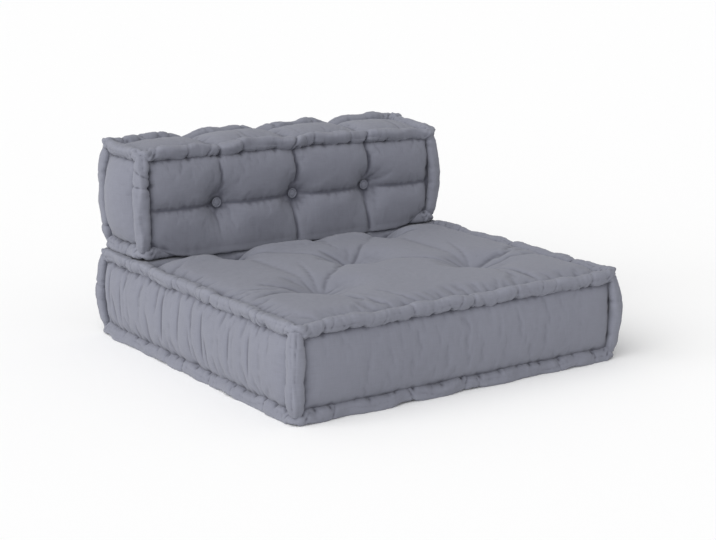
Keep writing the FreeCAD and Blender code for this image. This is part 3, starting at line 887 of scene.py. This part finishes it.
class RollShape:
    """The uneven, stitched shape of a rolled edge. Angles are measured from its crest."""

    def __init__(self, length, stitches, pinch, flat, ridges, twist, seed, closed, rope=0.0):
        self.length = length
        self.rope = rope
        self.stitches = stitches
        self.pinch = pinch
        self.flat = flat
        self.ridges = ridges
        self.twist = twist
        self.closed = closed
        self.draw = np.random.default_rng(seed)

    def waves(self, run, shortest, longest, count):
        """A smooth random line along the roll, which closes on itself on a ring."""
        total = np.zeros_like(run)
        for _ in range(count):
            wave = self.draw.uniform(shortest, longest)
            turns = max(round(self.length / wave), 1) if self.closed else self.length / wave
            total += np.sin(2 * math.pi * turns * run / self.length + self.draw.uniform(0, 2 * math.pi))
        return total / math.sqrt(count)

    def from_place(self, run, place):
        """Distance along the roll from a place, the short way round on a ring."""
        away = run - place
        if self.closed:
            away = (away + self.length / 2) % self.length - self.length / 2
        return away

    def swell(self, run, angle):
        """Radius of the roll as a share of its plain one."""
        size = 0.95 + 0.045 * self.waves(run, 0.07, 0.25, 5) + 0.015 * self.waves(run, 0.02, 0.05, 4)
        fine = 0.012 * self.waves(run, 0.009, 0.02, 5)
        size += fine * np.cos(3 * angle + self.waves(run, 0.05, 0.2, 3))
        crest = np.abs(angle - 0.3 * self.waves(run, 0.1, 0.4, 3))
        size = size + self.flat * np.cos(2 * angle) + 0.18 * np.exp(-((crest / 0.45) ** 1.5))
        size -= 0.06 * bell(crest - 1.0, 0.35)
        for lobes in (2, 3):
            lean = 2 * self.waves(run, 0.2, 0.6, 3)
            size += 0.03 * self.waves(run, 0.05, 0.2, 3) * np.cos(lobes * angle + lean)
        for middle, depth in self.ridges:
            line = middle + 0.25 * self.waves(run, 0.1, 0.4, 3)
            size -= depth * spike(angle - line, 0.16) * (0.6 + 0.4 * self.waves(run, 0.1, 0.3, 2))
        for gap, lean in SLANTS:
            turns = round(self.length / gap)
            phase = 2 * math.pi * run / self.length * turns + 0.8 * self.waves(run, 0.1, 0.3, 3)
            depth = self.twist * np.clip(0.5 + 0.8 * self.waves(run, 0.12, 0.4, 3), 0, 1.5)
            depth = depth * (1 + self.rope * (run > self.length * LAST_SIDE))
            size -= depth * spike(1 - np.sin(phase + lean * angle), 0.05)
        for place, strength in self.stitches:
            near = np.abs(self.from_place(run, place)).min(1) < STITCH_REACH
            size[near] -= self.stitch(self.from_place(run[near], place), angle[near], strength)
        if not self.closed:
            ends = np.minimum(run, self.length - run)
            size = size * (1 - 0.35 * bell(ends, 0.016))
        return size

    def stitch(self, away, turn, strength):
        """How far a stitch draws the roll in: a pinch at both its sides, and a line across."""
        cut = np.zeros_like(away)
        for side in (-1, 1):
            off = away - self.draw.uniform(-0.006, 0.006)
            base = ((turn - side * 1.95 + math.pi) % (2 * math.pi) - math.pi) / 0.6
            cut += strength * self.pinch * np.exp(-((off / 0.006) ** 2) - base**2)
        lean = self.draw.uniform(-0.008, 0.008)
        across = 0.08 * self.draw.uniform(0.1, 1.0) ** 1.5 * strength
        if strength == NOTCH_STRENGTH:
            across = 0.45
        elif strength > TIGHT_STITCH:
            across = 0.22
        return cut + across * spike(away - lean * turn, 0.004)


class Path:
    """Middles, headings and distances along a rolled edge."""

    def __init__(self, step):
        self.step = step
        self.middles = []
        self.ahead = []
        self.gone = []
        self.length = 0.0

    def add(self, length, place):
        """Adds a run: place gives the middle and the heading at a share of it."""
        count = max(round(length / self.step), 4)
        for number in range(count):
            middle, ahead = place(number / count)
            self.middles.append(middle)
            self.ahead.append(ahead)
            self.gone.append(self.length + length * number / count)
        self.length += length

    def close(self, middle, ahead):
        self.middles = np.array([*self.middles, middle])
        self.ahead = np.array([*self.ahead, ahead])
        self.gone = np.array([*self.gone, self.length])


def ring_path(cushion, z, bend, step):
    """A rounded rectangle round the cushion at one height, from its front left corner."""
    path = Path(step)
    low, high = cushion.low, cushion.high
    inner = ((low.x, low.y), (high.x, low.y), (high.x, high.y), (low.x, high.y))
    pivots = []
    for x, y in inner:
        inward = bend if y == low.y else -bend
        pivots.append(Vector((x + math.copysign(bend, -x), y + inward, z)))
    for number, pivot in enumerate(pivots):
        turn = number * math.pi / 2
        ahead = Vector((math.cos(turn), math.sin(turn), 0))
        start = pivot + Vector((ahead.y, -ahead.x, 0)) * bend
        corner = pivots[(number + 1) % 4]
        path.add((corner - pivot).length, lambda share: (start.lerp(start + corner - pivot, share), ahead))

        def bent(share):
            heading = turn + share * math.pi / 2
            side = Vector((math.sin(heading), -math.cos(heading), 0))
            return corner + side * bend, Vector((-side.y, side.x, 0))

        path.add(bend * math.pi / 2, bent)
    path.close(path.middles[0], path.ahead[0])
    return path


def roll_mesh(path, up, radius, sides, shape, crest, wander, corners=(), bow=(0, 0, 0)):
    """A tube along a path, with its uneven, stitched form."""
    bm = bmesh.new()
    rows = len(path.gone)
    bmesh.ops.create_grid(bm, x_segments=rows - 1, y_segments=sides, size=1)
    cells = [(round((v.co.x + 1) / 2 * (rows - 1)), round((v.co.y + 1) / 2 * sides)) for v in bm.verts]
    out = np.cross(path.ahead, up)
    turn = 2 * math.pi * np.arange(sides + 1) / sides
    up = np.array(up, dtype=float)
    spokes = np.cos(turn)[None, :, None] * out[:, None] + np.sin(turn)[None, :, None] * up
    angle = np.repeat(((turn - crest + math.pi) % (2 * math.pi) - math.pi)[None], rows, axis=0)
    run = np.repeat(path.gone[:, None], sides + 1, axis=1)
    size = shape.swell(run, angle)
    for corner in corners:
        away = shape.from_place(run, corner)
        knot = bell(away, 0.03)
        size = size + 0.1 * knot * np.sin(5 * angle + 3 * np.sin(away / 0.006))
        size = size + 0.08 * knot * np.sin(away / 0.0045 + 2 * angle) - 0.08 * knot
        size = size - 0.24 * spike(away, 0.004)
    sway = shape.waves(path.gone, 0.08, 0.3, 4)[:, None] * out
    sway = wander * (sway + shape.waves(path.gone, 0.08, 0.3, 4)[:, None] * up)
    sway = sway + np.sin(math.pi * path.gone / path.length)[:, None] * np.array(bow)
    points = (path.middles + sway)[:, None] + spokes * radius * size[..., None]
    layer = bm.loops.layers.uv.new("cloth")
    bm.verts.index_update()
    for face in bm.faces:
        for loop in face.loops:
            row, column = cells[loop.vert.index]
            loop[layer].uv = (path.gone[row], 2 * math.pi * radius * column / sides)
    for vert, cell in zip(bm.verts, cells):
        vert.co = points[cell]
    bmesh.ops.remove_doubles(bm, verts=bm.verts, dist=1e-6)
    bmesh.ops.holes_fill(bm, edges=[e for e in bm.edges if e.is_boundary], sides=0)
    bmesh.ops.recalc_face_normals(bm, faces=bm.faces)
    return bm


def roll_ring(cushion, level, settings, seed):
    """The rolled edge round the top or the bottom of a cushion."""
    low, high, bend = cushion.low, cushion.high, RING_BEND
    path = ring_path(cushion, high.z if level == "top" else low.z, bend, settings.step)
    turn = bend * math.pi / 2
    width, depth = (2 * (half - bend) for half in cushion.half.xy)
    corners = [width + turn / 2]
    for side in (depth, width, depth):
        corners.append(corners[-1] + side + turn)
    runs = {
        "front": lambda place: place - low.x - bend,
        "right": lambda place: width + turn + place - low.y - bend,
        "rear": lambda place: width + depth + 2 * turn + high.x - bend - place,
        "left": lambda place: 2 * width + depth + 3 * turn + high.y - bend - place,
    }
    seams = cushion.stitches(settings.stitch_gap)
    stitches = []
    for side, run in runs.items():
        stitches += [(run(place), strength) for place, strength in seams[frozenset((level, side))]]
    crest = math.pi / 4 if level == "top" else -math.pi / 4
    pinch = settings.pinch * (1.0 if cushion is seat else 0.7)
    roped = cushion is seat and level == "top"
    twist = settings.twist * (1.15 if roped else 0.4)
    rope = 1.2 if roped else 0.0
    ridges = [(0.75, 0.1), (-0.65, 0.1), (0.1, 0.05)]
    shape = RollShape(path.length, stitches, pinch, 0.04, ridges, twist, seed, True, rope)
    return roll_mesh(path, (0, 0, 1), cushion.radius, settings.sides, shape, crest, RING_WANDER, corners)


def roll_post(cushion, side_x, side_y, settings, seed):
    """An upright rolled edge at one corner, bowed out a little at half height."""
    upright = Vector((0, 0, 1))
    foot = cushion.middle + Vector((side_x * cushion.half.x, side_y * cushion.half.y, 0))
    head = foot.copy()
    foot.z = cushion.low.z
    head.z = cushion.high.z
    path = Path(settings.step)
    path.add((head - foot).length, lambda share: (foot.lerp(head, share), upright))
    path.close(head, upright)
    seam = cushion.stitches(settings.stitch_gap)[frozenset((SIDE_AT[0, side_x], SIDE_AT[1, side_y]))]
    stitches = [(place - foot.z, strength) for place, strength in seam]
    deep = 0.2 if cushion is seat else 0.08
    ridges = [(0.45, deep), (-0.5, deep * 0.9), (1.2, deep * 0.6)]
    pinch, twist = settings.pinch * 0.5, settings.twist * 0.2
    shape = RollShape(path.length, stitches, pinch, -0.18, ridges, twist, seed, False)
    crest = math.atan2(side_y, -side_x)
    bow = (POST_BOW * side_x, POST_BOW * side_y, 0)
    return roll_mesh(path, (0, 1, 0), cushion.radius, settings.sides, shape, crest, POST_WANDER, (), bow)


def settle_ring(bm, cushion, level, floor_z):
    """Rests a ring on what is under it, and lets the back's clefts run over it."""
    for vert in bm.verts:
        place = vert.co
        if level == "bottom":
            place.z -= 0.004
        place.z = max(place.z, floor_z)
        if cushion is seat and level == "top" and place.y > back.outer_low.y - 0.01:
            place.z = min(place.z + 0.003, back.outer_low.z - 0.0002)
        if cushion is back and level == "bottom" and place.y < back.low.y + 0.01:
            place.y += 0.008 * (1 - bell(back.half.x - abs(place.x), 0.04))
        if cushion is back and level == "top":
            cleft = 0.014 if place.y > back.middle.y else 0.004
            clefts = sum(bell(place.x - x, 0.03) for x in back_columns)
            place.z += 0.005 * (place.y > back.high.y - 0.03) - cleft * clefts


def make_rolls(sofa, cushion, floor_z, seed):
    """All rolled edges of a cushion."""
    settings = sofa.rolls
    finish = canvas_finish(f"{cushion.name}_roll_canvas", sofa.cloth)
    made = []
    for number, level in enumerate(("top", "bottom")):
        bm = roll_ring(cushion, level, settings, seed + number)
        settle_ring(bm, cushion, level, floor_z)
        piece = new_piece(f"{cushion.name}_{level}_roll", bm, cushion.body, finish)
        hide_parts(*[f"{cushion.name}_roll_{level}_{side}" for side in RING_SIDES])
        made.append(piece)
    corners = [(x, y) for x in (-1, 1) for y in (-1, 1)]
    for number, (side_x, side_y) in enumerate(corners):
        bm = roll_post(cushion, side_x, side_y, settings, seed + 2 + number)
        label = f"{cushion.name}_{SIDE_AT[1, side_y]}_{SIDE_AT[0, side_x]}_roll"
        made.append(new_piece(label, bm, cushion.body, finish))
    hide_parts(f"{cushion.name}_corner_rolls")
    for piece in made:
        if cushion is back:
            write_points(piece.data, settled(read_points(piece.data)))
        # The fold depth darkens the roll's creases with painted shade.
        mark_folds(piece.data, settings.step)


# Buttons


# The outline of a button: distance from its axis as a share of its radius, and rise as a
# share of its height
BUTTON_OUTLINE = (
    *((0, 0.8), (0.3, 0.78), (0.5, 0.7), (0.62, 0.5), (0.69, 0.42), (0.75, 0.55)),
    *((0.82, 0.72), (0.91, 0.7), (1.0, 0.44), (0.97, 0.2), (0.86, 0.04), (0, 0.04)),
)
BUTTON_STEPS = 36
RIM_PLEATS = 18


def add_button(bm, place):
    """A covered button on its back, at a place: a dome within a rounded rim."""
    before = set(bm.verts)
    verts = [bm.verts.new((share * button_radius, 0, rise * button_height)) for share, rise in BUTTON_OUTLINE]
    edges = [bm.edges.new(pair) for pair in zip(verts, verts[1:])]
    around = {"axis": (0, 0, 1), "angle": 2 * math.pi, "steps": BUTTON_STEPS, "use_merge": True}
    bmesh.ops.spin(bm, geom=verts + edges, **around)
    bmesh.ops.remove_doubles(bm, verts=[v for v in bm.verts if v not in before], dist=1e-6)
    made = [v for v in bm.verts if v not in before]
    for vert in made:
        turn = math.atan2(vert.co.y, vert.co.x)
        if math.hypot(vert.co.x, vert.co.y) > 0.9 * button_radius:
            vert.co.xy *= 1 + 0.012 * math.cos(RIM_PLEATS * turn)
    bmesh.ops.transform(bm, matrix=place, verts=made)


def make_buttons(sofa):
    """Covered buttons of both cushions."""
    finish = canvas_finish("button_canvas", sofa.cloth)
    rear_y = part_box("back_rear_buttons")[0].y
    move = Matrix.Translation
    forward = Matrix.Rotation(math.pi / 2, 4, "X")
    backward = Matrix.Rotation(-math.pi / 2, 4, "X")
    sets = (
        ("seat_tuft_buttons", "seat", [move((x, y, seat_button_low.z)) for x, y in seat_tufts]),
        ("back_front_buttons", "backrest", [move((x, button_high.y, z)) @ forward for x, z in back_tufts]),
        ("back_rear_buttons", "backrest", [move((x, rear_y, z)) @ backward for x, z in back_tufts]),
    )
    for node, body, places in sets:
        bm = bmesh.new()
        for place in places:
            add_button(bm, place)
        bmesh.ops.recalc_face_normals(bm, faces=bm.faces)
        write_box_map(bm)
        piece = refine(new_piece(f"{node}_covered", bm, body, finish))
        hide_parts(node)


# Zips, strips, twines


def plain_finish(name, colour, roughness, metallic, grain, depth):
    """A material of one colour with a fine grain: nylon, metal, plastic or tape."""
    finish = Finish(name, metallic=metallic, specular_ior_level=0.4)
    noise = finish.noise(finish.object_place(), grain, 3.0)
    finish.feed("Base Color", finish.mix(noise, lighter(colour, -0.15), lighter(colour, 0.15)))
    finish.feed("Roughness", roughness - 0.1 + 0.2 * noise)
    finish.bump(noise, depth, 0.5)
    return finish.material


def dress(node, finish):
    """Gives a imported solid, whose shape is right, a better material."""
    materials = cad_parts[node].data.materials
    materials.clear()
    materials.append(finish)


def softened(node, body, finish, amount):
    """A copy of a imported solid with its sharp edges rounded, in place of it."""
    bm = bmesh.new()
    bm.from_mesh(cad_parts[node].data)
    bmesh.ops.remove_doubles(bm, verts=bm.verts, dist=1e-6)
    bmesh.ops.dissolve_limit(bm, angle_limit=math.radians(2), verts=bm.verts, edges=bm.edges)
    sharp = [e for e in bm.edges if len(e.link_faces) == 2 and e.calc_face_angle(0) > math.radians(35)]
    bevel(bm, sharp, amount, 2)
    piece = new_piece(f"{node}_rounded", bm, body, finish)
    piece.data.set_sharp_from_angle(angle=math.radians(40))
    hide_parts(node)


def bevel(bm, edges, offset, segments):
    rounding = {"profile": 0.5, "affect": "EDGES", "material": -1}
    bmesh.ops.bevel(bm, geom=list(edges), offset=offset, segments=segments, **rounding)


def add_bars(bm, places, size, rounding):
    """Small bars with rounded edges: teeth or stitches."""
    made = []
    for place in places:
        matrix = Matrix.Translation(place) @ Matrix.Diagonal((*size, 1))
        made += bmesh.ops.create_cube(bm, size=1, matrix=matrix)["verts"]
    bevel(bm, {e for v in made for e in v.link_edges}, rounding, 1)


TOOTH_PITCH = 0.0024
TOOTH_LENGTH = 0.0015
TAPE_STITCH_PITCH = 0.0055
TAPE_STITCH = (0.0034, 0.0008, 0.0008)
THREAD_RISE = 0.0001


def make_zip(name, body, across, finish, thread):
    """The two rows of interlocked teeth of a zip, and the stitches that hold its tapes.
    `across` is the axis from one tape to the other."""
    low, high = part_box(f"{name}_zip_teeth")
    out = 3 - across
    middle = (low + high) / 2
    wide = high[across] - low[across]

    def row(pitch, level, side):
        places = []
        for number in range(int((high.x - low.x) / pitch)):
            place = middle.copy()
            place.x = low.x + pitch * (number + 0.5)
            place[across] += side(number)
            place[out] = level
            places.append(place)
        return places

    size = Vector((TOOTH_LENGTH, 0, 0))
    size[across] = wide * 0.56
    size[out] = high[out] - low[out]
    places = row(TOOTH_PITCH, middle[out], lambda number: wide * (0.2 if number % 2 else -0.2))
    bm = bmesh.new()
    add_bars(bm, places, size, 0.0004)
    write_box_map(bm)
    teeth = new_piece(f"{name}_zip_coil", bm, body, finish, False)
    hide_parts(f"{name}_zip_teeth")
    if name == "seat":
        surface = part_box("seat_rear_panel")[1].y + THREAD_RISE
    else:
        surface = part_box("back_hook_strips")[1].z - THREAD_RISE
    places = []
    for side in (-1, 1):
        places += row(TAPE_STITCH_PITCH, surface, lambda number: side * ZIP_SLOT * 1.75)
    bm = bmesh.new()
    add_bars(bm, places, TAPE_STITCH, 0.0002)
    write_box_map(bm)
    stitches = new_piece(f"{name}_zip_stitches", bm, body, thread, False)


STRIP_WIDTH = 0.036
STRIP_CORNER = 0.006
STRIP_STITCH_PITCH = 0.006
STRIP_STITCH_INSET = 0.003
STRIP_STITCH = (0.004, 0.0008, 0.0005)
STRIP_END_STITCH = (0.0008, 0.004, 0.0005)


def make_strips(node, body, finish, thread):
    """Two strips of hook or loop tape with rounded corners, stitched round their edges."""
    low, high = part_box(node)
    size = Vector((high.x - low.x, STRIP_WIDTH, high.z - low.z))
    outside = -1 if node.startswith("back") else 1
    strips = bmesh.new()
    stitches = bmesh.new()
    count = int((size.x - 2 * STRIP_CORNER) / STRIP_STITCH_PITCH)
    for y in (low.y + STRIP_WIDTH / 2, high.y - STRIP_WIDTH / 2):
        middle = Vector((0, y, (low.z + high.z) / 2))
        matrix = Matrix.Translation(middle) @ Matrix.Diagonal((*size, 1))
        made = bmesh.ops.create_cube(strips, size=1, matrix=matrix)["verts"]
        edges = {e for v in made for e in v.link_edges}
        upright = [e for e in edges if abs(e.verts[0].co.z - e.verts[1].co.z) > size.z / 2]
        bevel(strips, upright, STRIP_CORNER, 5)
        surface = middle.z + outside * (size.z / 2 - THREAD_RISE)
        for side in (-1, 1):
            line = y + side * (STRIP_WIDTH / 2 - STRIP_STITCH_INSET)
            steps = [(i + 0.5 - count / 2) * STRIP_STITCH_PITCH for i in range(count)]
            add_bars(stitches, [Vector((x, line, surface)) for x in steps], STRIP_STITCH, 0.0001)
            line = side * (size.x / 2 - STRIP_STITCH_INSET)
            steps = [y + (i - 2) * STRIP_STITCH_PITCH for i in range(5)]
            add_bars(stitches, [Vector((line, step, surface)) for step in steps], STRIP_END_STITCH, 0.0001)
    write_box_map(strips)
    write_box_map(stitches)
    piece = new_piece(f"{node}_napped", strips, body, finish, False)
    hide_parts(node)
    new_piece(f"{node}_stitches", stitches, body, thread, False)


def make_fittings(sofa):
    """Zips, hook and loop strips, twines and anchors."""

    def darker(share):
        return tuple(c * share for c in sofa.cloth.colour)

    nylon = plain_finish("zip_nylon", darker(0.75), 0.4, 0.0, 900.0, 0.0001)
    metal = plain_finish("zip_metal", (0.42, 0.42, 0.44), 0.38, 1.0, 700.0, 0.00005)
    tape = plain_finish("zip_tape", darker(0.75), 0.85, 0.0, 1400.0, 0.0003)
    thread = plain_finish("thread", darker(1), 0.7, 0.0, 2000.0, 0.0002)
    loop = plain_finish("loop_nap", darker(0.6), 0.95, 0.0, 650.0, 0.0014)
    hook = plain_finish("hook_nap", darker(0.5), 0.6, 0.0, 1100.0, 0.0012)
    twine = plain_finish("twine", (0.62, 0.57, 0.46), 0.85, 0.0, 1200.0, 0.0005)
    disc = plain_finish("anchor_plastic", (0.7, 0.7, 0.68), 0.45, 0.0, 300.0, 0.0001)
    for name in ("seat", "back"):
        dress(f"{name}_zip_tapes", tape)
        dress(f"{name}_zip_stops", metal)
        dress(f"{name}_tuft_twines", twine)
    dress("seat_tuft_anchors", disc)
    make_zip("seat", "seat", 2, nylon, thread)
    make_zip("back", "backrest", 1, nylon, thread)
    softened("seat_zip_slider", "seat_zip_slider", metal, 0.0004)
    softened("seat_zip_pull", "seat_zip_pull", metal, 0.0003)
    softened("back_zip_slider", "back_zip_slider", metal, 0.0004)
    make_strips("seat_loop_strips", "seat", loop, thread)
    make_strips("back_hook_strips", "backrest", hook, thread)


# Stage


FLOOR_RADIUS = 30
SUN_HEADING = (0.78, 0.26, -0.53)
SUN_SPREAD = math.radians(85)
SENSOR_WIDTH = 36.0
CAMERA_SHIFT = (0.0091, -0.0229)
CAMERA_AZIMUTH = math.radians(-34.35)
CAMERA_ELEVATION = math.radians(12.6)
CAMERA_DISTANCE = 4.287
CAMERA_AIM = (0, 0, 0.25)


def make_stage(sofa):
    """Pale floor, soft light from the left and a camera at the photograph's angle."""
    settings = sofa.stage
    scene = bpy.context.scene
    scene.view_settings.view_transform = "Standard"

    bm = bmesh.new()
    bmesh.ops.create_circle(bm, cap_ends=True, segments=64, radius=FLOOR_RADIUS)
    mesh = bpy.data.meshes.new("floor")
    bm.to_mesh(mesh)
    bm.free()
    floor = bpy.data.objects.new("floor", mesh)
    scene.collection.objects.link(floor)
    finish = Finish("floor_paint", roughness=1.0, specular_ior_level=0.0)
    finish.surface.inputs["Base Color"].default_value = (*settings.floor, 1)
    mesh.materials.append(finish.material)

    world = bpy.data.worlds.new("studio")
    scene.world = world
    world.use_nodes = True
    tree = world.node_tree
    light = tree.nodes["Background"]
    light.inputs["Strength"].default_value = settings.ambient
    light.inputs["Color"].default_value = WHITE
    white = tree.nodes.new("ShaderNodeBackground")
    rays = tree.nodes.new("ShaderNodeLightPath")
    seen = Shade(tree, rays.outputs["Is Camera Ray"])
    for kind in ("Is Glossy Ray", "Is Transmission Ray"):
        seen = seen.larger(Shade(tree, rays.outputs[kind]))
    mix = tree.nodes.new("ShaderNodeMixShader")
    connect(tree, mix.inputs[0], seen)
    tree.links.new(light.outputs[0], mix.inputs[1])
    tree.links.new(white.outputs[0], mix.inputs[2])
    white.inputs["Color"].default_value = WHITE
    tree.links.new(mix.outputs[0], tree.nodes["World Output"].inputs["Surface"])

    lamp = bpy.data.lights.new("key", "SUN")
    lamp.energy = settings.key
    lamp.angle = SUN_SPREAD
    key = bpy.data.objects.new("key", lamp)
    scene.collection.objects.link(key)
    key.rotation_euler = Vector(SUN_HEADING).to_track_quat("-Z", "Y").to_euler()

    camera = bpy.data.cameras.new("camera")
    camera.lens = settings.lens
    camera.sensor_width = SENSOR_WIDTH
    camera.shift_x, camera.shift_y = CAMERA_SHIFT
    holder = bpy.data.objects.new("camera", camera)
    scene.collection.objects.link(holder)
    level = math.cos(CAMERA_ELEVATION)
    x, y = math.sin(CAMERA_AZIMUTH) * level, -math.cos(CAMERA_AZIMUTH) * level
    away = Vector((x, y, math.sin(CAMERA_ELEVATION)))
    holder.location = Vector(CAMERA_AIM) + away * CAMERA_DISTANCE
    holder.rotation_euler = (-away).to_track_quat("-Z", "Y").to_euler()
    scene.camera = holder


# Operators


class SOFA_OT_seat_cushion(bpy.types.Operator):
    """Makes the stuffed seat cushion"""

    bl_idname = "sofa.seat_cushion"
    bl_label = "Seat Cushion"

    def execute(self, context):
        make_seat_cushion(context.scene.sofa)
        return {"FINISHED"}


class SOFA_OT_back_cushion(bpy.types.Operator):
    """Makes the stuffed back cushion"""

    bl_idname = "sofa.back_cushion"
    bl_label = "Back Cushion"

    def execute(self, context):
        make_back_cushion(context.scene.sofa)
        return {"FINISHED"}


class SOFA_OT_rolled_edges(bpy.types.Operator):
    """Makes the rolled edges of both cushions"""

    bl_idname = "sofa.rolled_edges"
    bl_label = "Rolled Edges"

    def execute(self, context):
        make_rolls(context.scene.sofa, seat, 0.0, 20)
        make_rolls(context.scene.sofa, back, back.outer_low.z, 40)
        return {"FINISHED"}


class SOFA_OT_buttons(bpy.types.Operator):
    """Makes the covered buttons of both cushions"""

    bl_idname = "sofa.buttons"
    bl_label = "Buttons"

    def execute(self, context):
        make_buttons(context.scene.sofa)
        return {"FINISHED"}


class SOFA_OT_fittings(bpy.types.Operator):
    """Makes the zips, the hook and loop strips and the twines"""

    bl_idname = "sofa.fittings"
    bl_label = "Fittings"

    def execute(self, context):
        make_fittings(context.scene.sofa)
        return {"FINISHED"}


class SOFA_OT_stage(bpy.types.Operator):
    """Makes the floor, the light and the camera"""

    bl_idname = "sofa.stage"
    bl_label = "Stage"

    def execute(self, context):
        make_stage(context.scene.sofa)
        return {"FINISHED"}


class SofaSettings(bpy.types.PropertyGroup):
    """All settings of the sofa."""

    cloth: PointerProperty(type=ClothSettings)
    stuffing: PointerProperty(type=StuffingSettings)
    rolls: PointerProperty(type=RollSettings)
    stage: PointerProperty(type=StageSettings)


OPERATORS = (
    SOFA_OT_seat_cushion,
    SOFA_OT_back_cushion,
    SOFA_OT_rolled_edges,
    SOFA_OT_buttons,
    SOFA_OT_fittings,
    SOFA_OT_stage,
)


class SOFA_PT_panel(bpy.types.Panel):
    """Settings and steps of the sofa"""

    bl_idname = "SOFA_PT_panel"
    bl_label = "Floor Sofa"
    bl_space_type = "VIEW_3D"
    bl_region_type = "UI"
    bl_category = "Sofa"

    def draw(self, context):
        sofa = context.scene.sofa
        for group in (sofa.cloth, sofa.stuffing, sofa.rolls, sofa.stage):
            box = self.layout.box()
            for key in group.bl_rna.properties.keys():
                if key not in ("rna_type", "name"):
                    box.prop(group, key)
        for operator in OPERATORS:
            self.layout.operator(operator.bl_idname)


SETTINGS = (ClothSettings, StuffingSettings, RollSettings, StageSettings, SofaSettings)
CLASSES = (*SETTINGS, *OPERATORS, SOFA_PT_panel)


def register():
    for cls in CLASSES:
        bpy.utils.register_class(cls)
    bpy.types.Scene.sofa = PointerProperty(type=SofaSettings)


def unregister():
    del bpy.types.Scene.sofa
    for cls in reversed(CLASSES):
        bpy.utils.unregister_class(cls)


def main():
    register()
    bpy.ops.sofa.stage()
    bpy.ops.sofa.seat_cushion()
    bpy.ops.sofa.back_cushion()
    bpy.ops.sofa.rolled_edges()
    bpy.ops.sofa.buttons()
    bpy.ops.sofa.fittings()


if __name__ == "__main__":
    main()
